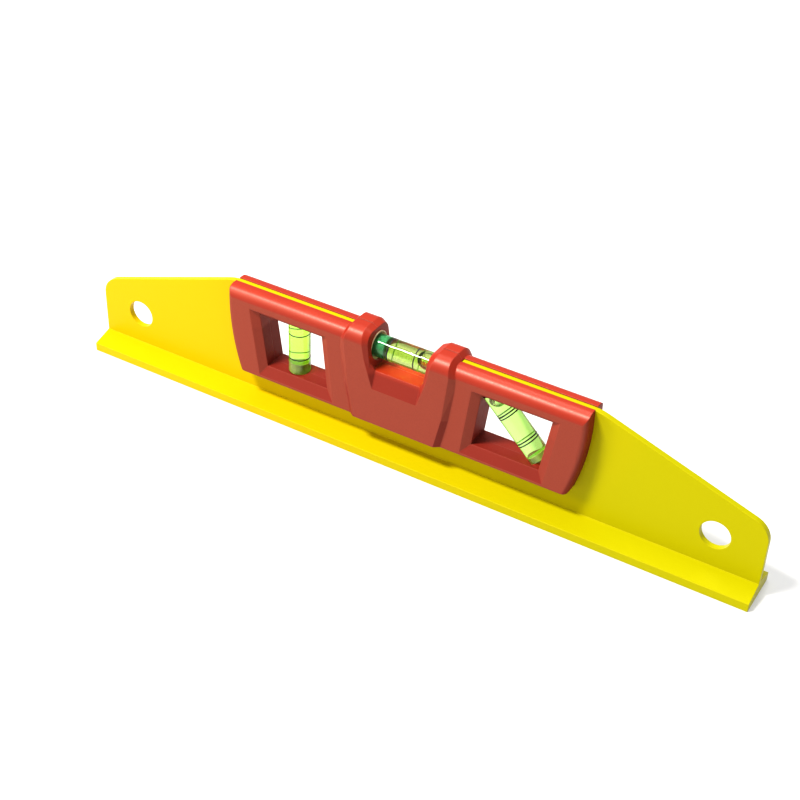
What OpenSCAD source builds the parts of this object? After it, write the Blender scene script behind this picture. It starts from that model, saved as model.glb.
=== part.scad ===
// Magnetic spirit level: a T-section rail that carries three bubble vials
// between two moulded half housings, one on each side of its web.
// X runs along the rail, -Y is the front and Z is up.
// The origin is on the floor, under the middle of the base.

/* [Rail] */
// Length of the rail
rail_len = 300; // [260:5:420]
// Height of the rail
rail_h = 55; // [54.4:0.1:60]
// Thickness of the upright web
web_t = 2.4; // [1.6:0.1:3.2]
// Width of the base
base_w = 20.4; // [18:0.2:30]
// Thickness of the base at its long edges
base_edge_t = 3.6; // [3:0.1:5]
// Height at which the sloping base meets the web
base_root_h = 6.4; // [5:0.1:8]
// Length of the level top edge
top_len = 162; // [150:1:200]
// Height of the rail at its two ends
end_h = 31.6; // [28:0.2:40]
// Rounding of the upper corner at each end
end_r = 9; // [3:0.5:14]
// Rounding where the top edge turns down towards an end
top_r = 20; // [5:1:40]

/* [Hanging holes] */
// Diameter of each hanging hole
hang_d = 12; // [6:0.5:14]
// Distance from a hole's centre to the end of the rail
hang_inset = 19.2; // [14:0.2:26]
// Height of the holes' centres
hang_z = 20.7; // [18:0.1:22]

/* [Magnet] */
// Width of the magnet strip
magnet_w = 12; // [6:0.5:15]
// Thickness of the magnet strip
magnet_t = 1.6; // [1:0.1:2]
// Depth of the strip's face inside the base
magnet_recess = 0.2; // [0:0.05:0.5]
// Distance from the strip to each end of the rail
magnet_inset = 5; // [2:0.5:20]

/* [Housing] */
// Greatest length of the housing
housing_len = 159.1; // [154:0.1:165]
// Depth of an arm in front of the web
arm_d = 6.2; // [5.6:0.1:7.5]
// How far the centre block stands out from the arms
block_step = 1.7; // [1:0.1:2.5]
// Height of the housing's lower edge
housing_z = 17.4; // [14:0.1:18]
// Rise of the arms' top above the rail's top
arm_rise = 0.4; // [0.1:0.05:1]
// Rounding along the arms' top edge
arm_r = 4.7; // [2:0.1:4.8]
// Radius of the bulging ends
end_curve_r = 101; // [80:1:200]
// Height at which the ends bulge furthest
end_curve_z = 48.7; // [40:0.1:52]
// Rounding of the edges round the ends
end_edge_r = 2.3; // [0.6:0.1:2.6]
// Rounding of the two lower corners
corner_r = 2.2; // [1:0.1:3]
// Thickness of the moulded walls
wall = 1.8; // [1.4:0.1:2.2]

/* [Windows] */
// Distance from the middle of the rail to the middle of a window
window_x = 48.8; // [48:0.1:50]
// Width of a window at half height
window_w = 29.2; // [27:0.1:30]
// Height of a window
window_h = 23.8; // [22:0.1:24]
// Height of the windows' sills
sill_z = 22.8; // [22:0.1:23.5]
// Lean of a window's inner side, as run over rise
inner_lean = 0.112; // [0:0.01:0.15]
// Lean of a window's outer side, as run over rise
outer_lean = 0.147; // [0:0.01:0.16]
// Thickness of the lining round each window
lining = 1.5; // [1:0.1:1.8]
// Depth of the bevel round each window
bevel_d = 2; // [1.2:0.1:2.4]
// Width of the bevel at the window's sides
bevel_side = 3.4; // [2:0.1:3.6]
// Width of the bevel at the sill
bevel_sill = 4.2; // [2:0.1:4.4]
// Width of the bevel under the top bar
bevel_head = 2; // [1:0.1:2.4]

/* [Centre block] */
// Width of the block's front at the housing's lower edge
block_w = 36.5; // [34:0.1:38]
// Width of the block's front at its bend
bend_w = 42.2; // [40:0.1:43]
// Height of the bend in the block's sides
bend_z = 31; // [28:0.5:34]
// Width of the block's front at the shoulders
shoulder_w = 46.4; // [44:0.1:47]
// Height of the shoulders
shoulder_z = 51.5; // [50:0.1:52]
// Width across the tops of the two posts
post_w = 44.4; // [42:0.1:45]
// Width of the slanted step beside the block
step_w = 2.3; // [1:0.1:2.4]
// Width of the step where it meets the arms' top
step_top_w = 0.9; // [0.4:0.1:2]
// Height at which the step is widest
step_z = 46.5; // [44:0.1:48]
// Height of the two posts above the rail
post_rise = 2.5; // [2:0.1:4]
// Rounding of the posts' front edges
post_r = 5.8; // [3:0.1:6]
// Width that the posts fill in a gap of the web
post_core_w = 38.6; // [36:0.1:40]
// Height of the floor between the posts
notch_z = 41; // [40:0.1:42]
// Width of the notch at its floor
notch_w = 25; // [23:0.2:25.4]
// Lean of the notch's sides, as run over rise
notch_lean = 0.05; // [0:0.01:0.08]
// Depth of the bevel along the notch's front and top edges
notch_bevel = 1.3; // [0.5:0.1:1.8]
// Width of that bevel level with the vial
bevel_w = 1.4; // [0.8:0.1:1.8]
// Lean of the bevel's outer edge, as run over rise
bevel_lean = 0.19; // [0.1:0.01:0.2]
// Width of the level floor in the notch
floor_w = 13.2; // [12:0.2:14]
// Height at which the scoop meets the block's front
scoop_z = 33.9; // [31:0.1:36]
// Width of the scoop's face
scoop_w = 19.8; // [19:0.2:20.4]
// Height of the fillets in the notch's lower corners
fillet_z = 46; // [44:0.5:47]
// Reach of those fillets along the floor
fillet_run = 3.6; // [2:0.1:5]

/* [Level vial] */
// Diameter of the vial that lies along the rail
main_d = 9.4; // [8.6:0.1:9.8]
// Length of the vial that lies along the rail
main_len = 33.2; // [31:0.2:35]
// Height of its axis
main_z = 48.4; // [48:0.1:49]
// Length of its end plug
main_plug = 8.4; // [6:0.1:9]
// Distance from its plug end to its first line
main_first_line = 10.2; // [9.6:0.1:11]
// Distance between its two lines
main_lines = 11.7; // [11:0.1:13]
// Length of its bubble
main_bubble = 9.6; // [8:0.1:10.2]
// Gap between the bubble's end and the end of the chamber
main_rest_gap = 0.4; // [0.1:0.05:2]
// Thickness of the cream cushion round each end
cushion_t = 1.2; // [0.8:0.05:1.3]
// How far the cushions stand out of the posts
cushion_proud = 0.3; // [0:0.05:0.6]
// Width of a cushion's flat rim
cushion_rim = 0.4; // [0.2:0.05:0.6]
// Depth of the hollow inside that rim
cushion_dish = 1; // [0.5:0.1:1.5]

/* [Side vials] */
// Diameter of the plumb and slope vials
side_d = 9; // [8.4:0.1:9.2]
// Length of the plumb vial
side_len = 31; // [28:0.1:31]
// Length of the plumb vial's end plug
side_plug = 5; // [4:0.1:6]
// Distance from the plumb vial's plug end to its first line
side_first_line = 7.4; // [6.9:0.1:9]
// Distance between the two lines of a side vial
side_lines = 11.4; // [10:0.1:13]
// Distance of the slope vial's outer lines from its inner ones
double_gap = 1.2; // [0.9:0.1:1.2]
// Length of their bubbles
side_bubble = 5.8; // [5:0.1:7]
// Gap between a bubble's end and the end of its chamber
side_rest_gap = 0.2; // [0.1:0.05:1]
// Depth of the plumb vial's seat in the sill
plumb_seat = 0.5; // [0.2:0.1:0.9]
// Tilt of the slope vial from upright
slope_tilt = 45; // [43:0.5:47]
// Distance from the window's middle to the slope vial's lower end
slope_drop = 14.6; // [14:0.1:15]
// Length of the slope vial
slope_len = 32; // [31:0.1:32.4]
// Length of the slope vial's end plug
slope_plug = 2.8; // [2.2:0.1:4]
// Distance from the slope vial's plug end to the first of its inner lines
slope_first_line = 9.4; // [9:0.1:9.8]

/* [Vial details] */
// Radius of a vial's chamber at its middle
chamber_r = 3.55; // [3.2:0.05:3.7]
// Narrowing of the chamber towards its ends, as run over rise
crown = 0.004; // [0:0.001:0.008]
// Thickness of the closed end
cap_t = 1; // [0.8:0.1:1.2]
// Width of a painted line
line_w = 0.4; // [0.2:0.05:0.6]
// Depth of a line's groove
line_depth = 0.12; // [0.05:0.01:0.2]

/* [Screws] */
// Diameter of a screw's shank
screw_d = 2.6; // [2:0.1:2.8]
// Diameter of a screw's head
head_d = 5; // [4.2:0.1:5.4]
// Height of a screw's head
head_h = 1.6; // [1.2:0.1:1.8]
// Distance from the middle of the rail to the outer screws
outer_screw_x = 72.4; // [72:0.1:73]
// Distance from the middle of the rail to the inner screws
inner_screw_x = 27.6; // [27:0.1:28.4]
// Height of the screws
screw_z = 36; // [34:0.2:38]

/* [Hidden] */
$fn = 64;
// Facets of a full turn on the largest arcs
fine = 720;
// Overlap that makes cuts pass right through
eps = 0.5;
// Gap between the shells and the edges cut in the web
fit_gap = 0.15;
// Gap between a screw and its holes
screw_gap = 0.25;
// Gap between a screw's shank and its tapped hole
tap_gap = 0.02;
// Gap between a bubble and its chamber's wall
bubble_gap = 0.1;
// Depth and half width of the seam on the posts' tops
seam = 0.3;
seam_half = 0.15;
// Depth of material left under a screw's head
head_seat = 4.2;
// Radius of the bosses that take the screws
boss_r = 3.1;
// Width and depth of the slots in a screw's cross
cross_w = 0.7;
cross_d = 0.9;
// Length of each slot
cross_len = 3.2;
// Depth that a screw reaches into the front shell
screw_bite = 3.6;
// Material round each vial's end where it passes the web
seat_wall = 1.2;
// Radius of the level vial's bubble, seen along the vial
bubble_roll_r = 3.1;
// Rise of the bubble's middle above the vial's axis
bubble_lift = 1.2;
// Reach of cuts beyond the housing's faces
clear = 12;

web_y = web_t / 2;
arm_y = web_y + arm_d;
block_y = arm_y + block_step;
lip_y = arm_y - bevel_d;
arm_top = rail_h + arm_rise;
post_top = rail_h + post_rise;
magnet_top = magnet_recess + magnet_t;
end_angle = atan((rail_h - end_h) / ((rail_len - top_len) / 2));
curve_x = housing_len / 2 - end_curve_r;
window_mid_z = sill_z + window_h / 2;
head_z = sill_z + window_h;
lip_half = floor_w / 2;
cushion_r = main_d / 2 + cushion_t;
slope_x = window_x + 0.8;
plumb_x = -slope_x;

// Half width of the notch at height z
function notch_half(z) = notch_w / 2 + (z - notch_z) * notch_lean;
// Half width of the notch at height z, with the bevels on its two edges
function bevel_half(z) = notch_half(main_z) + bevel_w + (z - main_z) * bevel_lean;
// Distance of a window's inner and outer sides from the middle of the rail
function window_in(z) = window_x - window_w / 2 + (z - window_mid_z) * inner_lean;
function window_out(z) = window_x + window_w / 2 + (z - window_mid_z) * outer_lean;

// Lays a drawing of X and Z on the front side, from depth d0 to depth d1
module slab(d0, d1) {
    translate([0, -d0, 0]) rotate([90, 0, 0]) linear_extrude(d1 - d0) children();
}

// Runs a drawing of Y and Z along X, between -half and half
module run(half) {
    translate([-half, 0, 0]) rotate([90, 0, 90]) linear_extrude(2 * half) children();
}

// Puts one copy on each side of the middle
module both_sides() {
    children();
    mirror([1, 0, 0]) children();
}

// Outline of the web with its sloping, rounded ends
module web_outline() {
    half = rail_len / 2;
    cx = half - end_r;
    cz = end_h - end_r * (1 - sin(end_angle)) / cos(end_angle);
    tx = cx + end_r * sin(end_angle);
    tz = cz + end_r * cos(end_angle);
    turn = top_r * tan(end_angle / 2);
    arc_x = top_len / 2 - turn;
    slope_x1 = top_len / 2 + turn * cos(end_angle);
    slope_z1 = rail_h - turn * sin(end_angle);
    polygon([[-half, 0], [half, 0], [half, cz], [cx, cz], [tx, tz], [slope_x1, slope_z1],
        [arc_x, rail_h], [-arc_x, rail_h], [-slope_x1, slope_z1], [-tx, tz], [-cx, cz], [-half, cz]]);
    for (side = [-1, 1]) {
        translate([side * cx, cz]) circle(end_r);
        translate([side * arc_x, rail_h - top_r]) circle(top_r);
    }
}

// Section of the base, thickest at the web
module base_section() {
    polygon([[-base_w / 2, 0], [base_w / 2, 0], [base_w / 2, base_edge_t], [web_y, base_root_h],
        [-web_y, base_root_h], [-base_w / 2, base_edge_t]]);
}

// Outline of a window, grown by g on every side
module window_outline(g = 0) {
    low = sill_z - g;
    high = head_z + g;
    polygon([[window_in(low) - g, low], [window_out(low) + g, low],
        [window_out(high) + g, high], [window_in(high) - g, high]]);
}

// Outline of the level vial, the plumb vial and the slope vial, grown by g
module level_shadow(g = 0) {
    translate([-main_len / 2 - g, main_z - main_d / 2 - g]) square([main_len + 2 * g, main_d + 2 * g]);
}
module plumb_shadow(g = 0) {
    translate([plumb_x - side_d / 2 - g, sill_z - plumb_seat - g])
        square([side_d + 2 * g, side_len + 2 * g]);
}
module slope_shadow(g = 0) {
    translate([slope_x, window_mid_z]) rotate(slope_tilt) translate([-side_d / 2 - g, -slope_drop - g])
        square([side_d + 2 * g, slope_len + 2 * g]);
}

// Part of the web's plane that the shells fill, grown by g
module core_outline(g = 0) {
    both_sides() window_outline(lining + g);
    intersection() {
        plumb_shadow(seat_wall + g);
        translate([-housing_len, 0]) square([housing_len, sill_z - plumb_seat + side_len + g]);
    }
    slope_shadow(seat_wall + g);
    low = notch_z - wall - g;
    half = post_core_w / 2 + g;
    translate([-half, low]) square([2 * half, rail_h - low + eps]);
}

// Puts a vial's pieces in place: each runs along its own Z from its plug end
module at_level() {
    translate([-main_len / 2, 0, main_z]) rotate([0, 90, 0]) children();
}
module at_plumb() {
    translate([plumb_x, 0, sill_z - plumb_seat]) children();
}
module at_slope() {
    translate([slope_x, 0, window_mid_z]) rotate([0, -slope_tilt, 0])
        translate([0, 0, -slope_drop]) children();
}

// One-piece rail: web and base, with its holes and the groove for the magnet
module rail() {
    color("gold")
        difference() {
            union() {
                run(rail_len / 2) base_section();
                slab(-web_y, web_y) web_outline();
            }
            groove = rail_len - 2 * magnet_inset;
            translate([-groove / 2, -magnet_w / 2, -eps]) cube([groove, magnet_w, magnet_top + eps]);
            slab(-clear, clear) {
                core_outline(fit_gap);
                for (side = [-1, 1]) {
                    translate([side * (rail_len / 2 - hang_inset), hang_z]) circle(d = hang_d);
                    translate([side * outer_screw_x, screw_z]) circle(d = screw_d + 2 * screw_gap);
                    translate([side * inner_screw_x, screw_z]) circle(d = screw_d + 2 * screw_gap);
                }
            }
        }
}

// Flexible magnet, pressed flush into the groove under the base
module magnet_strip() {
    length = rail_len - 2 * magnet_inset;
    color("dimgray")
        translate([-length / 2, -magnet_w / 2, magnet_recess]) cube([length, magnet_w, magnet_t]);
}

// Section of a moulded bar from depth d0 to d1, with a rounded top front edge
module bar_section(d0, d1, top, r) {
    translate([-d1 + r, housing_z]) square([d1 - r - d0, top - housing_z]);
    translate([-d1, housing_z]) square([d1 - d0, top - r - housing_z]);
    translate([-d1 + r, top - r]) circle(r);
}

// Outline of both arms: bulging ends and rounded lower corners
module arm_outline() {
    rise = end_curve_z - housing_z - corner_r;
    reach = end_curve_r - corner_r;
    fx = curve_x + sqrt(reach * reach - rise * rise);
    fz = housing_z + corner_r;
    away = [(fx - curve_x) / reach, -rise / reach] * 3 * corner_r;
    difference() {
        intersection() {
            for (side = [1]) translate([curve_x, end_curve_z]) circle(end_curve_r, $fn = fine);
            translate([-curve_x, end_curve_z]) circle(end_curve_r, $fn = fine);
            translate([-housing_len, housing_z]) square([2 * housing_len, arm_top - housing_z]);
        }
        both_sides() polygon([[fx, fz], [fx, housing_z - eps], [fx + 3 * corner_r, housing_z - eps],
            [fx + away[0], fz + away[1]]]);
    }
    for (side = [-1, 1]) translate([side * fx, fz]) circle(corner_r);
}

// Disc that bounds one end of the arms, with a rounded rim
module end_disc() {
    translate([curve_x, 0, end_curve_z]) rotate([90, 0, 0]) rotate_extrude($fn = fine) {
        square([end_curve_r - end_edge_r, arm_y]);
        square([end_curve_r, arm_y - end_edge_r]);
        translate([end_curve_r - end_edge_r, arm_y - end_edge_r]) circle(end_edge_r, $fn = 32);
    }
}

// Arms of one shell, still solid
module arms() {
    intersection() {
        run(housing_len) bar_section(web_y, arm_y, arm_top, arm_r);
        slab(web_y, arm_y) arm_outline();
        end_disc();
        mirror([1, 0, 0]) end_disc();
    }
}

// Outline of the block's front face
module face_outline() {
    polygon([[-block_w / 2, housing_z], [block_w / 2, housing_z], [bend_w / 2, bend_z],
        [shoulder_w / 2, shoulder_z], [post_w / 2, post_top], [-post_w / 2, post_top],
        [-shoulder_w / 2, shoulder_z], [-bend_w / 2, bend_z]]);
}

// Outline of the block with its steps, as it stands on the arms
module step_outline() {
    foot = block_w / 2 + step_w;
    bend = bend_w / 2 + step_w;
    wide = shoulder_w / 2 + step_w;
    top = shoulder_w / 2 + step_top_w;
    polygon([[-foot, housing_z], [foot, housing_z], [bend, bend_z], [wide, step_z],
        [wide, shoulder_z - eps], [top, arm_top], [-top, arm_top],
        [-wide, shoulder_z - eps], [-wide, step_z], [-bend, bend_z]]);
}

// Centre block of one shell: slanted side steps, and posts that close over the rail
module block() {
    difference() {
        hull() {
            intersection() {
                run(shoulder_w) bar_section(0, block_y, post_top, post_r);
                slab(0, block_y) face_outline();
            }
            intersection() {
                run(shoulder_w) bar_section(0, arm_y, arm_top, arm_r);
                slab(0, arm_y) step_outline();
            }
        }
        translate([-housing_len / 2, -web_y, housing_z - eps])
            cube([housing_len, web_y + eps, rail_h + fit_gap - housing_z + eps]);
    }
}

// Slice of a post between its bevel's edges, d inside the block's surface:
// it starts at x0 and leans to x1 at the posts' top
module post_slice(x0, x1, d) {
    intersection() {
        run(shoulder_w) bar_section(-eps, block_y - d, post_top - d, post_r - d);
        slab(-eps, block_y)
            polygon([[x0, housing_z], [x0 + eps / 10, housing_z], [x1 + eps / 10, post_top], [x1, post_top]]);
    }
}

// Space between the posts: level floor, scoop in front and bevels along the edges
module notch() {
    top = post_top + eps;
    slope = (notch_z - scoop_z) / (block_y - lip_half);
    difference() {
        intersection() {
            slab(-eps, block_y + clear)
                polygon([[-bevel_half(housing_z), housing_z], [bevel_half(housing_z), housing_z],
                    [bevel_half(top), top], [-bevel_half(top), top]]);
            run(shoulder_w)
                polygon([[eps, notch_z], [-lip_half, notch_z], [-block_y - clear, scoop_z - clear * slope],
                    [-block_y - clear, top], [eps, top]]);
        }
        both_sides() {
            hull() {
                post_slice(notch_half(housing_z), notch_half(post_top), notch_bevel);
                post_slice(bevel_half(housing_z), bevel_half(post_top), 0);
            }
            notch_fillet();
        }
    }
}

// Slanted fillet in the notch's lower right corner
module notch_fillet() {
    side = scoop_w / 2;
    out = bevel_half(fillet_z);
    corners = [[side, -block_y, scoop_z], [side, -lip_half, notch_z],
        [notch_half(notch_z), fillet_run - lip_half, notch_z],
        [notch_half(fillet_z), notch_bevel - block_y, fillet_z],
        [out, -block_y, fillet_z], [bevel_half(scoop_z), -block_y, scoop_z],
        [side, -block_y, scoop_z - notch_bevel], [side, fillet_run - lip_half, scoop_z],
        [out, fillet_run - lip_half, scoop_z], [out, fillet_run - lip_half, notch_z]];
    hull() for (c = corners) translate(c) cube(eps / 50);
}

// One window with the bevel round its front
module window_cut() {
    slab(-eps, arm_y) window_outline();
    hull() {
        slab(lip_y, lip_y + eps / 10) window_outline();
        slab(arm_y + eps - eps / 10, arm_y + eps) bevel_outline((bevel_d + eps) / bevel_d);
    }
}

// Outer edge of the bevel, k times its full width from the window
module bevel_outline(k) {
    low = sill_z - bevel_sill * k;
    high = head_z + bevel_head * k;
    side = bevel_side * k;
    polygon([[window_in(low) - side, low], [window_out(low) + side, low],
        [window_out(high) + side, high], [window_in(high) - side, high]]);
}

// Hollows behind an arm's top bar and behind its end
module arm_hollow() {
    difference() {
        intersection() {
            union() {
                translate([shoulder_w / 2 + step_w + wall, head_z + lining])
                    square([housing_len, arm_top - wall - head_z - lining]);
                translate([window_x, housing_z + wall])
                    square([housing_len, arm_top - housing_z - 2 * wall]);
            }
            translate([curve_x, end_curve_z]) circle(end_curve_r - wall, $fn = fine);
        }
        window_outline(lining);
        slope_shadow(seat_wall);
        mirror([1, 0]) plumb_shadow(seat_wall);
        translate([outer_screw_x, screw_z]) circle(boss_r);
        translate([window_x, housing_z]) square([window_out(sill_z) + lining - window_x, sill_z - housing_z]);
    }
}

// What both shells share
module half_shell() {
    difference() {
        union() {
            arms();
            block();
            slab(0, web_y + eps / 10)
                intersection() {
                    core_outline();
                    union() {
                        face_outline();
                        translate([-housing_len / 2, housing_z]) square([housing_len, arm_top - housing_z]);
                    }
                }
        }
        both_sides() window_cut();
        both_sides() slab(-eps, lip_y - eps) difference() {
            arm_hollow();
            slope_shadow(seat_wall);
        }
        notch();
        at_level() cylinder(h = main_len, r = cushion_r);
        at_plumb() cylinder(h = side_len, d = side_d);
        at_slope() cylinder(h = slope_len, d = side_d);
        translate([-housing_len / 2, -seam_half, post_top - seam])
            cube([housing_len, seam_half + eps, seam + eps]);
    }
}

// Puts one copy at each screw
module at_screws() {
    for (x = [-outer_screw_x, -inner_screw_x, inner_screw_x, outer_screw_x])
        translate([x, 0, screw_z]) children();
}

// Front shell, with the tapped bosses
module front_housing() {
    color("firebrick")
        difference() {
            half_shell();
            at_screws() rotate([90, 0, 0])
                cylinder(h = web_y + screw_bite + screw_d / 4, r = screw_d / 2 + tap_gap);
        }
}

// Rear shell, with the counterbores for the screw heads
module rear_housing() {
    color("firebrick")
        difference() {
            mirror([0, 1, 0]) half_shell();
            at_screws() rotate([-90, 0, 0]) {
                cylinder(h = arm_y + eps, r = screw_d / 2 + screw_gap);
                translate([0, 0, web_y + head_seat])
                    cylinder(h = arm_d, r = head_d / 2 + screw_gap);
            }
        }
}

// Four self-tapping screws, driven from the rear
module housing_screws() {
    color("silver")
        at_screws() rotate([-90, 0, 0]) {
            seat = web_y + head_seat;
            translate([0, 0, -web_y - screw_bite]) cylinder(h = seat + web_y + screw_bite, d = screw_d);
            difference() {
                translate([0, 0, seat]) cylinder(h = head_h, d = head_d);
                for (turn = [0, 90]) rotate([0, 0, turn])
                    translate([-cross_len / 2, -cross_w / 2, seat + head_h - cross_d])
                        cube([cross_len, cross_w, cross_d + eps]);
            }
        }
}

// Radius of a vial's bore at distance t from its plug end
function bore_r(t, middle) = chamber_r - abs(t - middle) * crown;

// Chamber of a vial: two very shallow cones, widest midway between the lines
module chamber(from, to, middle) {
    turn = min(to, middle);
    translate([0, 0, from]) cylinder(h = turn - from, r1 = bore_r(from, middle), r2 = bore_r(turn, middle));
    if (to > middle)
        translate([0, 0, middle]) cylinder(h = to - middle, r1 = chamber_r, r2 = bore_r(to, middle));
}

// Clear moulded tube, closed at the far end and bored for the plug at the near end
module barrel(d, length, plug, middle, lines) {
    difference() {
        cylinder(h = length, d = d);
        chamber(-eps, length - cap_t, middle);
        for (t = lines) line_ring(d, t, eps);
    }
}

// Ring that lies in a groove round a vial at distance t from its plug end
module line_ring(d, t, proud = 0) {
    translate([0, 0, t - line_w / 2]) difference() {
        cylinder(h = line_w, d = d + 2 * proud);
        translate([0, 0, -eps]) cylinder(h = line_w + 2 * eps, d = d - 2 * line_depth);
    }
}

// Plug that closes the near end
module plug(length, middle) {
    chamber(0, length, middle);
}

// Rounded slug of air, lying along Z from its lower end
module bubble_body(length, r) {
    translate([0, 0, r]) cylinder(h = length - 2 * r, r = r);
    for (z = [r, length - r]) translate([0, 0, z]) sphere(r);
}

main_middle = main_first_line + main_lines / 2;
main_line_list = [main_first_line, main_first_line + main_lines];
side_middle = side_first_line + side_lines / 2;
plumb_line_list = [side_first_line, side_first_line + side_lines];
slope_middle = slope_first_line + side_lines / 2;
slope_line_list = [slope_first_line - double_gap, slope_first_line,
    slope_first_line + side_lines, slope_first_line + side_lines + double_gap];
side_bubble_r = bore_r(side_len, side_middle) - bubble_gap;
main_bubble_r = bore_r(main_len, main_middle) - bubble_gap;

// Bubble of the level vial, pressed up against the top of its chamber
module level_air() {
    intersection() {
        translate([-bubble_lift, 0, main_len - cap_t - main_rest_gap - main_bubble])
            bubble_body(main_bubble, bubble_roll_r);
        cylinder(h = main_len, r = main_bubble_r);
    }
}

// Bubble at the upper end of a side vial's chamber
module side_air(length) {
    translate([0, 0, length - cap_t - side_rest_gap - side_bubble])
        bubble_body(side_bubble, min(side_bubble_r, side_bubble / 2 - bubble_gap));
}

module level_vial_barrel() {
    color("lightcyan", 0.4) at_level() barrel(main_d, main_len, main_plug, main_middle, main_line_list);
}
module level_vial_plug() {
    color("seagreen") at_level() plug(main_plug, main_middle);
}
module level_vial_liquid() {
    color("greenyellow", 0.7) at_level() difference() {
        chamber(main_plug, main_len - cap_t, main_middle);
        level_air();
    }
}
module level_vial_bubble() {
    color("white", 0.6) at_level() level_air();
}
module level_vial_lines() {
    color("black") at_level() for (t = main_line_list) line_ring(main_d, t);
}
// Two cream cushions that bed the level vial in the posts
module level_vial_cushions() {
    face = notch_half(main_z) - cushion_proud;
    color("wheat") both_sides() translate([face, 0, main_z]) rotate([0, 90, 0]) difference() {
        cylinder(h = main_len / 2 - face, r = cushion_r);
        translate([0, 0, -eps]) cylinder(h = main_len / 2, d = main_d);
        cylinder(h = cushion_dish, r1 = cushion_r - cushion_rim, r2 = main_d / 2);
    }
}

module plumb_vial_barrel() {
    color("lightcyan", 0.4) at_plumb() barrel(side_d, side_len, side_plug, side_middle, plumb_line_list);
}
module plumb_vial_plug() {
    color("seagreen") at_plumb() plug(side_plug, side_middle);
}
module plumb_vial_liquid() {
    color("greenyellow", 0.7) at_plumb() difference() {
        chamber(side_plug, side_len - cap_t, side_middle);
        side_air(side_len);
    }
}
module plumb_vial_bubble() {
    color("white", 0.6) at_plumb() side_air(side_len);
}
module plumb_vial_lines() {
    color("black") at_plumb() for (t = plumb_line_list) line_ring(side_d, t);
}

module slope_vial_barrel() {
    color("lightcyan", 0.4) at_slope() barrel(side_d, slope_len, slope_plug, slope_middle, slope_line_list);
}
module slope_vial_plug() {
    color("seagreen") at_slope() plug(slope_plug, slope_middle);
}
module slope_vial_liquid() {
    color("greenyellow", 0.7) at_slope() difference() {
        chamber(slope_plug, slope_len - cap_t, slope_middle);
        side_air(slope_len);
    }
}
module slope_vial_bubble() {
    color("white", 0.6) at_slope() side_air(slope_len);
}
module slope_vial_lines() {
    color("black") at_slope() for (t = slope_line_list) line_ring(side_d, t);
}

rail();
magnet_strip();
front_housing();
rear_housing();
housing_screws();
level_vial_barrel();
level_vial_plug();
level_vial_liquid();
level_vial_bubble();
level_vial_lines();
level_vial_cushions();
plumb_vial_barrel();
plumb_vial_plug();
plumb_vial_liquid();
plumb_vial_bubble();
plumb_vial_lines();
slope_vial_barrel();
slope_vial_plug();
slope_vial_liquid();
slope_vial_bubble();
slope_vial_lines();
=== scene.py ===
import math

import bpy
import numpy as np
from mathutils import Matrix, Vector


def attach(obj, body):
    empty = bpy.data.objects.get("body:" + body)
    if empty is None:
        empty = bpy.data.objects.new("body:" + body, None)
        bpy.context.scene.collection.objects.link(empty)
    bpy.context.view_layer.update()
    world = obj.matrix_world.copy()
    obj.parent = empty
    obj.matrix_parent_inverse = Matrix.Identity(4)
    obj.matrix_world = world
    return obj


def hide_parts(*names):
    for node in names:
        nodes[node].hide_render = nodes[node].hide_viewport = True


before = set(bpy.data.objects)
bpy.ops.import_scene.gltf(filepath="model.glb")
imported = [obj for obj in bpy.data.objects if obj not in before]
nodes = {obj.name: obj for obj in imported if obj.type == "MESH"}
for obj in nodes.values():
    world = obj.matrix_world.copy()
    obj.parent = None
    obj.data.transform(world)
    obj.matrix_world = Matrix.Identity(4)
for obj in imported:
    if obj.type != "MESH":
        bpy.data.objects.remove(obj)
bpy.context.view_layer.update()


# Rail: one aluminium T section, web and base together, powder coated in a
# glossy lemon yellow. Its two ends are cut and coated in one go, so every
# edge is softly rounded by the coat and the faces show a slight orange peel.
class Sheet:
    """A node tree, and short calls that add and join its nodes."""

    def __init__(self, tree):
        self.tree = tree

    def node(self, kind, output=0, settings=(), **inputs):
        """Adds a node, sets or links its inputs, and returns one of its outputs."""
        made = self.tree.nodes.new("ShaderNode" + kind)
        for key, value in settings:
            setattr(made, key, value)
        for key, value in inputs.items():
            key = int(key[1:]) if key[0] == "i" and key[1:].isdigit() else key.replace("_", " ")
            self.feed(made.inputs[key], value)
        return made.outputs[output]

    def feed(self, socket, value):
        if isinstance(value, bpy.types.NodeSocket):
            self.tree.links.new(value, socket)
        else:
            socket.default_value = value

    def ramp(self, value, low, high, out_low=0.0, out_high=1.0):
        """Carries value from low..high to out_low..out_high, clamped."""
        return self.node("MapRange", 0, Value=value, From_Min=low, From_Max=high,
                         To_Min=out_low, To_Max=out_high)

    def mix(self, factor, first, second):
        """Mixes two colours."""
        return self.node("Mix", 2, [("data_type", "RGBA")], i0=factor, i6=first, i7=second)

    def sum(self, first, second, operation="ADD"):
        return self.node("Math", 0, [("operation", operation)], i0=first, i1=second)

    def size_of(self, value):
        return self.node("Math", 0, [("operation", "ABSOLUTE")], i0=value)


def effect(name, inputs, outputs):
    """Shader node group with named sockets: its sheet, its inputs by name and its output node."""
    tree = bpy.data.node_groups.new(name, "ShaderNodeTree")
    for label, kind, value in inputs:
        socket = tree.interface.new_socket(label, in_out="INPUT", socket_type="NodeSocket" + kind)
        socket.default_value = value
    for label, kind in outputs:
        tree.interface.new_socket(label, in_out="OUTPUT", socket_type="NodeSocket" + kind)
    given = tree.nodes.new("NodeGroupInput").outputs
    return Sheet(tree), given, tree.nodes.new("NodeGroupOutput").inputs


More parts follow.
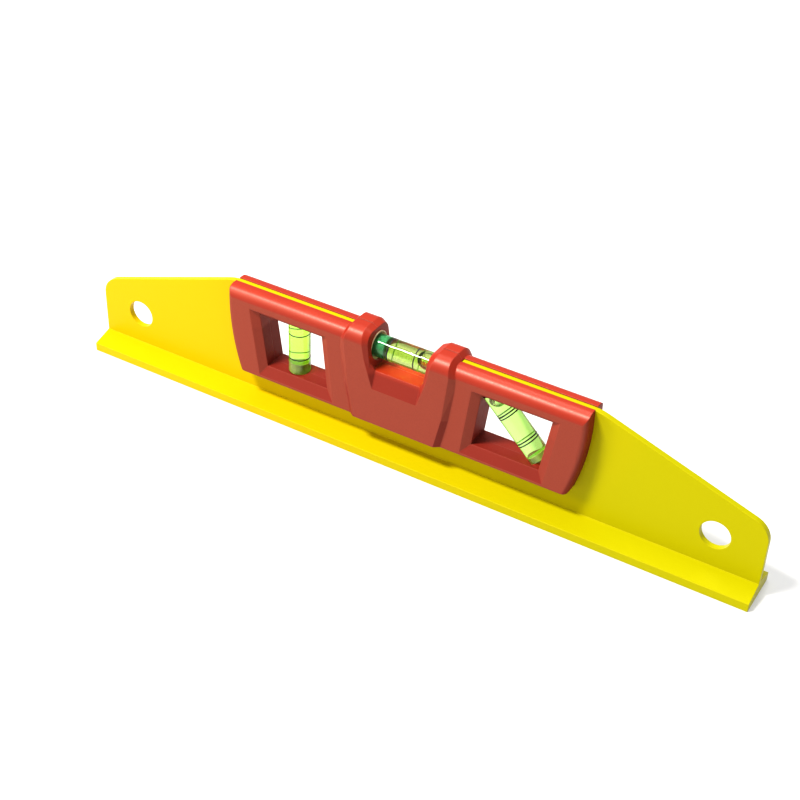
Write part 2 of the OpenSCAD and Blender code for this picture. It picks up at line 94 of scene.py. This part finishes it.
# Grain: a fine noise for the surface and a broad one for drifting colour
grain, given, out = effect(
    "grain", [("Place", "Vector", (0, 0, 0)), ("Pull", "Vector", (1, 1, 1)), ("Fine scale", "Float", 1000.0),
              ("Broad scale", "Float", 20.0)], [("Fine", "Float"), ("Broad", "Float")])
where = grain.node("Mapping", Vector=given["Place"], Scale=given["Pull"])
for label, detail in (("Fine", 4.0), ("Broad", 3.0)):
    wave = grain.node("TexNoise", 0, Vector=where, Scale=given[label + " scale"], Detail=detail)
    grain.feed(out[label], grain.ramp(wave, 0.3, 0.7))

# Edges: a normal that rounds every edge, and a mask of where it does
edges, given, out = effect(
    "soft_edges", [("Radius", "Float", 0.0005)], [("Normal", "Vector"), ("Edge", "Float")])
rounded = edges.node("Bevel", 0, [("samples", 6)], Radius=given["Radius"])
true = edges.node("NewGeometry", "True Normal")
meet = edges.node("VectorMath", "Value", [("operation", "DOT_PRODUCT")], i0=rounded, i1=true)
edges.feed(out["Normal"], rounded)
edges.feed(out["Edge"], edges.ramp(meet, 0.999, 0.93))


class Finish(Sheet):
    """A material with a Principled shader."""

    def __init__(self, name, **sockets):
        self.mat = bpy.data.materials.new(name)
        self.mat.use_nodes = True
        super().__init__(self.mat.node_tree)
        self.shader = self.tree.nodes["Principled BSDF"]
        self.place = self.tree.nodes.new("ShaderNodeTexCoord").outputs["Object"]
        for key, value in sockets.items():
            self.shader.inputs[key.replace("_", " ")].default_value = value

    def use(self, group, *wanted, **inputs):
        """Places a shader node group, and returns the wanted outputs."""
        made = self.tree.nodes.new("ShaderNodeGroup")
        made.node_tree = group.tree
        for key, value in inputs.items():
            self.feed(made.inputs[key.replace("_", " ")], value)
        return [made.outputs[label] for label in wanted]

    def grained(self, fine, broad, pull=(1, 1, 1)):
        """Fine and broad noise over the object, with scales in waves per metre."""
        return self.use(grain, "Fine", "Broad", Place=self.place, Pull=pull,
                        Fine_scale=fine, Broad_scale=broad)

    def set(self, **sockets):
        for key, value in sockets.items():
            self.feed(self.shader.inputs[key.replace("_", " ")], value)

    def relief(self, height, depth, normal=None, strength=1.0):
        """Bumps of a height in units of depth, over a normal that edges may have rounded."""
        base = {"Normal": normal} if normal else {}
        self.set(Normal=self.node("Bump", 0, Height=height, Distance=depth, Strength=strength, **base))

    def cover(self, *names):
        """Puts the finish on CAD nodes that keep their own shape."""
        for name in names:
            nodes[name].data.materials.clear()
            nodes[name].data.materials.append(self.mat)


# The coat is painted brighter and warmer towards the -X end, a painted light from the lamps on that side; it
# also thins on the edges and has a faint orange peel
paint = Finish("rail_paint", Roughness=0.34, Specular_IOR_Level=0.2,
               Specular_Tint=(1.0, 0.86, 0.08, 1))
peel, cloud = paint.grained(700, 14)
rim, edge_wear_and_sheen = paint.use(edges, "Normal", "Edge", Radius=0.0004)
reach = paint.node("SeparateXYZ", "X", Vector=paint.place)
painted_light_falloff = paint.ramp(paint.sum(reach, paint.ramp(cloud, 0, 1, -0.02, 0.02)), -0.12, 0.10)
# painted light: the coat goes from a brighter, warmer yellow at the -X end to a darker, greener one at the
# +X end
coat = paint.mix(painted_light_falloff, (0.58, 0.41, 0.001, 1), (0.42, 0.39, 0.001, 1))
paint.set(Base_Color=paint.mix(paint.sum(edge_wear_and_sheen, 0.35, "MULTIPLY"), coat, (0.66, 0.58, 0.03, 1)),
          Roughness=paint.ramp(peel, 0, 1, 0.30, 0.40))
paint.relief(peel, 0.00003, rim, 0.5)
paint.cover("rail")


# Magnet: a ribbon of bonded ferrite, matt black, calendered lengthwise and
# pressed into the groove under the base.
def screen(r, g, b):
    """Linear colour of a screen colour given as three values from 0 to 255."""
    shares = [v / 255 for v in (r, g, b)]
    part = [v / 12.92 if v <= 10 / 255 else ((v + 0.055) / 1.055) ** 2.4 for v in shares]
    return (*part, 1.0)


magnet = Finish("magnet", Roughness=0.8)
rolled = magnet.grained(500, 120, pull=(0.02, 1, 1))[0]
grit = magnet.grained(2500, 60)[0]
magnet.set(Base_Color=magnet.mix(magnet.sum(rolled, grit, "MULTIPLY"),
                                 screen(22, 21, 21), screen(74, 70, 68)),
           Roughness=magnet.ramp(grit, 0, 1, 0.7, 0.9))
magnet.relief(magnet.sum(rolled, grit), 0.00002)
magnet.cover("magnet_strip")


# Housing: two halves moulded in a glossy red plastic. Their flat outer faces are spark eroded, which leaves
# a fine matt grain; their paler colour is a painted sheen. The bevels and the walls of the openings carry no
# grain, and the rounded tops are glossier. Upward-facing tops above the notch floor are painted a brighter
# red, a painted light, the lower slopes and walls a darker red, a painted shade, and the edges a lighter
# red, a painted highlight.
red = Finish("housing_plastic", Roughness=0.42, Specular_IOR_Level=0.45,
             Specular_Tint=(1.0, 0.86, 0.74, 1))
facing = red.node("NewGeometry", "Normal")
outward = red.size_of(red.node("SeparateXYZ", "Y", Vector=facing))
upward = red.node("SeparateXYZ", "Z", Vector=facing)
step = red.sum(red.ramp(outward, 0.70, 0.76),
               red.ramp(red.size_of(upward), 0.12, 0.05), "MULTIPLY")
flat = red.sum(red.ramp(outward, 0.985, 0.997), step, "MAXIMUM")
spark, tone = red.grained(1500, 30)
rim, edge_wear_and_sheen = red.use(edges, "Normal", "Edge", Radius=0.0005)
# painted light and shade: this mask picks the upward-facing tops above the notch floor, which take the
# brighter red, while the lower slopes and walls take the darker red
high = red.ramp(red.node("SeparateXYZ", "Z", Vector=red.place), 0.0395, 0.0408)
top = red.sum(high, red.ramp(upward, -0.3, 0.9), "MULTIPLY")
lit_top_red = red.mix(tone, (0.36, 0.026, 0.008, 1), (0.33, 0.022, 0.007, 1))
shaded_lower_red = red.mix(tone, (0.205, 0.0105, 0.0035, 1), (0.180, 0.0090, 0.0030, 1))
glossy = red.mix(top, shaded_lower_red, lit_top_red)
# painted sheen: the ground faces' red is paler and greyer than the glossy red
matt = red.mix(spark, (0.225, 0.030, 0.014, 1), (0.255, 0.038, 0.019, 1))
shell = red.mix(flat, glossy, matt)
shine = red.sum(top, red.ramp(flat, 0, 1, 1, 0), "MULTIPLY")
# painted highlight: the housing's edges are mixed towards a lighter red
red.set(Base_Color=red.mix(red.sum(edge_wear_and_sheen, 0.2, "MULTIPLY"), shell, (0.42, 0.06, 0.04, 1)),
        Roughness=red.sum(red.ramp(shine, 0, 1, 0.62, 0.37), red.ramp(spark, 0, 1, -0.04, 0.04)))
red.relief(red.sum(spark, red.ramp(flat, 0, 1, 0.15, 1.0), "MULTIPLY"), 0.00002, rim, 0.6)
red.cover("front_housing", "rear_housing")


# Screws: four zinc plated self-tapping screws with a cross recess, turned
# heads that show faint rings and a little yellowing.
zinc = Finish("screw_steel", Metallic=1.0, Roughness=0.3)
swirl, stain = zinc.grained(1800, 300)
rim = zinc.use(edges, "Normal", Radius=0.0001)[0]
zinc.set(Base_Color=zinc.mix(swirl, screen(150, 150, 148), screen(205, 203, 196)),
         Roughness=zinc.ramp(stain, 0, 1, 0.22, 0.42))
zinc.relief(swirl, 0.00001, rim)
zinc.cover("housing_screws")


# Vials: clear moulded acrylic tubes, closed at one end and plugged at the
# other, with black rings painted round them. Each holds a lime green spirit
# and a bubble of air. A piece is turned on its own axis and set in place.
SHARP = math.radians(32)  # edges that turn further than this stay crisp


def turned(name, profile, place, seam=False, turns=96, second=None):
    """Closed surface of revolution. Row i of profile is (t, r): a ring of radius r at distance t
    along the axis. The ends are poles with r = 0, or with seam the last row joins the first one.
    Rows from second[0] to second[1] take the second material slot. place is (origin, direction)
    in millimetres."""
    profile = np.array(profile, dtype=float)
    origin, ahead = (np.array(v, dtype=float) for v in place)
    side = np.cross(ahead, (0, 1, 0))
    other = np.cross(ahead, side)
    rings = profile if seam else profile[1:-1]
    angle = np.arange(turns) * 2 * np.pi / turns
    spoke = np.cos(angle)[:, None] * side + np.sin(angle)[:, None] * other
    points = origin + rings[:, None, :1] * ahead + rings[:, None, 1:] * spoke
    points = points.reshape(-1, 3)
    count = len(rings)
    row = np.arange(count if seam else count - 1)[:, None] * turns
    nxt = (row + turns) % (count * turns)
    a = np.arange(turns)[None, :]
    b = (a + 1) % turns
    quads = np.stack([row + a, row + b, nxt + b, nxt + a], -1).reshape(-1, 4)
    faces = quads.tolist()
    rows = np.repeat(np.arange(len(row)), turns)
    if not seam:
        first, last = len(points), len(points) + 1
        poles = [origin + profile[0, 0] * ahead, origin + profile[-1, 0] * ahead]
        points = np.vstack([points, poles])
        end = (count - 1) * turns
        faces += np.stack([np.full(turns, first), b[0], a[0]], -1).tolist()
        faces += np.stack([np.full(turns, last), end + a[0], end + b[0]], -1).tolist()
        rows = np.concatenate([rows, np.full(turns, -1), np.full(turns, count)])
    mesh = bpy.data.meshes.new(name)
    mesh.from_pydata((points / 1000).tolist(), [], faces)
    if second:
        mesh.materials.append(None)
        mesh.materials.append(None)
        slots = ((rows >= second[0]) & (rows < second[1])).astype(np.int32)
        mesh.polygons.foreach_set("material_index", slots)
    mesh.polygons.foreach_set("use_smooth", np.ones(len(mesh.polygons), dtype=bool))
    mesh.set_sharp_from_angle(angle=SHARP)
    mesh.update()
    piece = bpy.data.objects.new(name, mesh)
    bpy.context.scene.collection.objects.link(piece)
    return piece


def lets_lamps_through(finish, tint):
    """Joins a Transparent shader that only rays from lamps see, so that the piece casts a tinted,
    clear shadow."""
    path = finish.node("LightPath", "Is Shadow Ray")
    film = finish.node("BsdfTransparent", 0, Color=tint)
    both = finish.node("MixShader", 0, i0=path, i1=finish.shader.outputs[0], i2=film)
    out = finish.tree.nodes["Material Output"].inputs["Surface"]
    finish.tree.links.new(both, out)


acrylic = Finish("vial_acrylic", Base_Color=(1, 1, 1, 1), Roughness=0.0, IOR=1.49,
                 Transmission_Weight=1.0)
haze = acrylic.grained(260, 60)[0]
acrylic.set(Roughness=acrylic.ramp(haze, 0, 1, 0.0, 0.04))
acrylic.relief(haze, 0.00001, strength=0.2)
lets_lamps_through(acrylic, (0.97, 0.98, 0.97, 1))

# The bore is where acrylic meets spirit, so its index is the ratio of theirs
bore = Finish("vial_bore", Base_Color=(1, 1, 1, 1), Roughness=0.0, IOR=1.095,
              Transmission_Weight=1.0)
haze = bore.grained(300, 60)[0]
bore.set(Roughness=bore.ramp(haze, 0, 1, 0.0, 0.04))
lets_lamps_through(bore, (1, 1, 1, 1))


def dyed(name, deep, pale, painted_glow):
    """Spirit with its dye. It only tints what passes, because the bore already bends it. Its upper side is
    painted paler, a painted light and reflection from above, and it glows faintly, which is painted light as
    well."""
    finish = Finish(name, Roughness=0.0, IOR=1.0, Transmission_Weight=1.0, Emission_Strength=painted_glow)
    fine, drift = finish.grained(600, 120)
    rise = finish.node("SeparateXYZ", "Z", Vector=finish.node("NewGeometry", "Normal"))
    painted_top_light = finish.ramp(rise, 0.75, 0.9)
    dye = finish.mix(finish.sum(drift, 0.3, "MULTIPLY"), deep, pale)
    finish.set(Base_Color=finish.mix(painted_top_light, dye, (0.62, 0.62, 0.44, 1)),
               Emission_Color=finish.mix(fine, dye, pale))
    lets_lamps_through(finish, (0.86, 1.0, 0.50, 1))
    return finish


# painted shade and light: the three spirits are one dye, but the level vial's is painted darker and the
# slope vial's paler, and each spirit glows faintly, which is painted light
spirits = {"level_vial": dyed("level_spirit", (0.30, 0.47, 0.045, 1), (0.38, 0.56, 0.09, 1), 0.02),
           "plumb_vial": dyed("plumb_spirit", (0.49, 0.86, 0.10, 1), (0.58, 0.93, 0.14, 1), 0.06),
           "slope_vial": dyed("slope_spirit", (0.52, 0.86, 0.22, 1), (0.60, 0.93, 0.30, 1), 0.06)}

# Air inside spirit: light speeds up on the way in
air = Finish("vial_air", Base_Color=(1, 1, 1, 1), Roughness=0.0, IOR=0.735,
             Transmission_Weight=1.0)
haze = air.grained(400, 90)[0]
air.set(Roughness=air.ramp(haze, 0, 1, 0.0, 0.03))
lets_lamps_through(air, (1, 1, 1, 1))


def stopper(name, dark, light):
    """Soft plastic of the plugs, which lets some light through."""
    finish = Finish(name, Roughness=0.35, IOR=1.09, Transmission_Weight=0.45)
    fine, milky = finish.grained(1200, 400)
    finish.set(Base_Color=finish.mix(milky, dark, light),
               Roughness=finish.ramp(fine, 0, 1, 0.28, 0.42))
    lets_lamps_through(finish, (0.25, 0.6, 0.3, 1))
    return finish


emerald = stopper("level_plug_plastic", (0.03, 0.22, 0.07, 1), (0.06, 0.32, 0.11, 1))
olive = stopper("side_plug_plastic", (0.20, 0.26, 0.050, 1), (0.28, 0.36, 0.085, 1))

ink = Finish("line_ink", Roughness=0.4)
blot, fade = ink.grained(1500, 300)
ink.set(Base_Color=ink.mix(blot, screen(3, 5, 3), screen(16, 19, 13)),
        Roughness=ink.ramp(fade, 0, 1, 0.3, 0.5))

# Seen from inside the tube the ink is thin and lets the spirit's colour show
thin_ink = Finish("line_ink_inside", Roughness=0.6)
blot, fade = thin_ink.grained(1500, 300)
thin_ink.set(Base_Color=thin_ink.mix(blot, (0.16, 0.26, 0.05, 1), (0.24, 0.36, 0.08, 1)),
             Roughness=thin_ink.ramp(fade, 0, 1, 0.5, 0.7))

foam = Finish("cushion_plastic", Roughness=0.5)
speck, tone = foam.grained(900, 200)
foam.set(Base_Color=foam.mix(speck, screen(196, 160, 112), screen(236, 212, 168)),
         Roughness=foam.ramp(tone, 0, 1, 0.4, 0.6))
foam.relief(speck, 0.00003)
foam.cover("level_vial_cushions")


def vial(kind, place, radius, length, cap, plug, turn, chamber, crown, lines):
    """One vial, in millimetres: tube, plug, spirit and the painted rings. The bore's radius is
    chamber at distance turn from the plug end, and each mm away from there takes crown off it.
    gap keeps faces apart, lip is the size of the chamber's and the tube's rounded corners."""
    gap, lip = 0.02, 0.35
    nick = lip * 0.3
    wall = radius - 0.01

    def bored(t, less=0.0):
        return chamber - abs(t - turn) * crown - less

    end = length - cap
    tube = turned(kind + "_tube", [
        (end, 0), (end, bored(end) - lip), (end - nick, bored(end) - nick), (end - lip, bored(end)),
        (end - lip * 2, bored(end - lip)), (turn, chamber), (0, bored(0)), (0, wall - lip),
        (nick, wall - nick), (lip, wall), (lip * 2, wall),
        (length - lip * 2, wall), (length - lip, wall), (length - nick, wall - nick),
        (length, wall - lip), (length, 0)], place, second=(-1, 5))
    tube.data.materials[0] = acrylic.mat
    tube.data.materials[1] = bore.mat
    # The plug has a raised rim at its outer end and a chamfer at its inner one
    rim, chamfer, snug = 0.1, 0.3, bored(0, gap)
    stop = turned(kind + "_stopper", [
        (chamfer, 0), (chamfer, snug - 0.9), (rim, snug - 0.6), (rim, snug - 0.25), (chamfer, snug),
        (plug - chamfer, bored(plug, gap)), (plug - rim, bored(plug, gap) - chamfer),
        (plug - 0.05, 0)], place)
    # The spirit starts behind the plug and ends in the chamber's rounded corner
    tight = bored(end, gap)
    fill = turned(kind + "_spirit", [
        (plug + gap, 0), (plug + gap, bored(plug, gap) - 0.1), (plug + 0.1, bored(plug, gap)),
        (turn, chamber - gap), (end - lip, tight), (end - nick, tight - nick),
        (end - gap, tight - lip), (end - gap, 0)], place)
    # A ring stands a touch proud of the tube and reaches a touch into it
    half, edge, proud, level, under = 0.25, 0.05, 0.012, 0.005, 0.05
    rings = []
    for number, t in enumerate(lines):
        ring = turned(kind + "_ring_%d" % number, [
            (t - half, radius - under), (t - half, radius - level),
            (t - half + edge, radius + proud), (t + half - edge, radius + proud),
            (t + half, radius - level), (t + half, radius - under)],
            place, seam=True, second=(5, 6))
        ring.data.materials[0] = ink.mat
        ring.data.materials[1] = thin_ink.mat
        rings.append(ring)
    return tube, stop, fill, rings


def belongs(piece, finish, body, slot, *replaced):
    """Gives a piece its finish and its body, and hides the CAD nodes that it stands for. slot is not used.
    """
    if finish:
        piece.data.materials.clear()
        piece.data.materials.append(finish.mat)
    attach(piece, body)
    if replaced:
        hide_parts(*replaced)


def bubble(name, place, start, size, curve):
    """Bubble of revolution from distance start, size (length, radius): its radius follows a
    superellipse of the power curve, 1 - |s|^curve, with s from -1 to 1 along the bubble."""
    s = -np.cos(np.linspace(0, np.pi, 33))
    r = size[1] * (1 - np.abs(s) ** curve).clip(0) ** (1 / curve)
    return turned(name, np.stack([start + size[0] * (s + 1) / 2, r], -1), place, turns=72)


LEVEL = ((-16.6, 0, 48.4), (1, 0, 0))
PLUMB = ((-49.6, 0, 22.3), (0, 0, 1))
DROP = 14.6 * math.sqrt(0.5)
SLOPE = ((49.6 + DROP, 0, 34.7 - DROP), (-math.sqrt(0.5), 0, math.sqrt(0.5)))
SIDE = dict(radius=4.5, length=31, cap=1, plug=5, turn=13.1, chamber=3.55, crown=0.004)

for kind, place, sizes in (
        ("level_vial", LEVEL, dict(radius=4.7, length=33.2, cap=1, plug=8.4, turn=16.05,
                                   chamber=3.55, crown=0.004, lines=(10.2, 21.9))),
        ("plumb_vial", PLUMB, dict(SIDE, lines=(7.4, 18.8))),
        ("slope_vial", SLOPE, dict(SIDE, length=32, plug=2.8, turn=15.1,
                                   lines=(8.2, 9.4, 20.8, 22.0)))):
    tube, stop, fill, rings = vial(kind, place, **sizes)
    belongs(tube, None, "level", "vial_acrylic", kind + "_barrel")
    belongs(stop, emerald if kind == "level_vial" else olive, "level", "plug_plastic", kind + "_plug")
    belongs(fill, spirits[kind], "level", "vial_liquid", kind + "_liquid")
    for ring in rings:
        belongs(ring, None, "level", "line_ink", kind + "_lines")


# Bubbles: the side vials' are small enough to stay round. The level vial's is
# long and lies flattened against the top of its chamber.
def lying_bubble(name, middle, half, chamber, roll, lift):
    """Bubble that lies along X under the top of a chamber, in millimetres. Round its own middle,
    lifted above the vial's axis, its radius is a soft minimum of roll and of the distance to the
    chamber's wall, and along X it shrinks by a superellipse."""
    turns, tightness, bluntness = 96, 14.0, 2.6
    s = -np.cos(np.linspace(0, np.pi, 41))[1:-1]
    turn = np.arange(turns) * 2 * np.pi / turns
    wall = np.sqrt(chamber ** 2 - (lift * np.sin(turn)) ** 2) - lift * np.cos(turn)
    reach = (wall ** -tightness + roll ** -tightness) ** (-1 / tightness)
    shrink = (1 - np.abs(s) ** bluntness) ** (1 / bluntness)
    x = middle[0] + half * s[:, None] + 0 * turn
    y = -shrink[:, None] * reach * np.sin(turn)
    z = middle[2] + lift + shrink[:, None] * reach * np.cos(turn)
    points = np.stack([x, y, z], -1).reshape(-1, 3)
    ends = [(middle[0] - half, 0, middle[2] + lift), (middle[0] + half, 0, middle[2] + lift)]
    a = np.arange(turns)
    b = (a + 1) % turns
    row = np.arange(len(s) - 1)[:, None] * turns
    nxt = row + turns
    faces = np.stack([row + a, row + b, nxt + b, nxt + a], -1).reshape(-1, 4).tolist()
    faces += np.stack([np.full(turns, len(points)), b, a], -1).tolist()
    last = (len(s) - 1) * turns
    faces += np.stack([np.full(turns, len(points) + 1), last + a, last + b], -1).tolist()
    mesh = bpy.data.meshes.new(name)
    mesh.from_pydata((np.vstack([points, ends]) / 1000).tolist(), [], faces)
    mesh.polygons.foreach_set("use_smooth", np.ones(len(mesh.polygons), dtype=bool))
    piece = bpy.data.objects.new(name, mesh)
    bpy.context.scene.collection.objects.link(piece)
    return piece


slug = lying_bubble("level_vial_air", (10.4, 0, 48.4), 4.8, 3.38, 3.1, 1.2)
belongs(slug, air, "level_bubble", "vial_air", "level_vial_bubble")
for kind, place, start in (("plumb", PLUMB, 24.0), ("slope", SLOPE, 25.0)):
    bead = bubble(kind + "_vial_air", place, start, (5.8, 2.8), 2.1)
    belongs(bead, air, kind + "_bubble", "vial_air", kind + "_vial_bubble")


# Floor and backdrop: a white photographer's table, a hair under the base so
# that the two faces don't coincide
bpy.ops.mesh.primitive_plane_add(size=6.0, location=(0, 0, -0.00003))
floor = bpy.context.object
floor.name = "floor"
table = Finish("table", Roughness=0.9, Specular_IOR_Level=0.1, Emission_Strength=0.3)
speck, sheet = table.grained(900, 40)
table.set(Base_Color=table.mix(sheet, (0.49, 0.49, 0.49, 1), (0.51, 0.51, 0.51, 1)),
          Emission_Color=table.mix(speck, (0.98, 0.98, 1.0, 1), (1, 1, 1, 1)))
floor.data.materials.append(table.mat)


# Camera: fitted to the photograph's view. Its focal length and its optical
# centre are in pixels of a picture of 800 x 800.
PICTURE, FOCAL, CENTRE = 800, 1491.575, (412.408, 394.947)
camera_data = bpy.data.cameras.new("camera")
camera = bpy.data.objects.new("camera", camera_data)
bpy.context.scene.collection.objects.link(camera)
right = Vector((0.858783, 0.510897, 0.038417))
down = Vector((0.324673, -0.484680, -0.812202))
ahead = Vector((-0.396332, 0.709978, -0.582110))
turn = Matrix((right, -down, -ahead)).transposed().to_4x4()
camera.matrix_world = Matrix.Translation(Vector((0.233288, -0.412102, 0.368764))) @ turn
camera_data.sensor_width = 36.0
camera_data.lens = camera_data.sensor_width * FOCAL / PICTURE
camera_data.shift_x = (PICTURE / 2 - CENTRE[0]) / PICTURE
camera_data.shift_y = (CENTRE[1] - PICTURE / 2) / PICTURE
camera_data.clip_start = 0.01
bpy.context.scene.camera = camera


# Light: a soft key lamp from the upper left front, a broad one overhead, a
# small warm one low at the left, and a white room
world = bpy.data.worlds.new("studio")
bpy.context.scene.world = world
world.use_nodes = True
world.node_tree.nodes["Background"].inputs["Color"].default_value = (1, 1, 1, 1)
world.node_tree.nodes["Background"].inputs["Strength"].default_value = 0.40


def lamp(name, place, size, power, color=(1, 1, 1)):
    """Rectangular area lamp that looks at the middle of the level, with its width along the rail."""
    data = bpy.data.lights.new(name, "AREA")
    data.shape = "RECTANGLE"
    data.size, data.size_y = size
    data.energy = power
    data.color = color
    light = bpy.data.objects.new(name, data)
    bpy.context.scene.collection.objects.link(light)
    away = (Vector(place) - Vector((0, 0, 0.03))).normalized()
    along = (Vector((1, 0, 0)) - away.x * away).normalized()
    turn = Matrix((along, away.cross(along), away)).transposed().to_4x4()
    light.matrix_world = Matrix.Translation(Vector(place)) @ turn


lamp("key", (-0.84, -0.99, 2.06), (0.60, 0.27), 74.0, (1.0, 0.97, 0.93))
lamp("overhead", (-0.15, 0.45, 1.55), (0.9, 0.9), 13.0)
lamp("side", (-0.62, -0.46, 0.36), (0.18, 0.18), 2.6, (1.0, 0.84, 0.68))
bpy.context.scene.view_settings.view_transform = "Standard"
bpy.context.scene.view_settings.look = "Medium High Contrast"
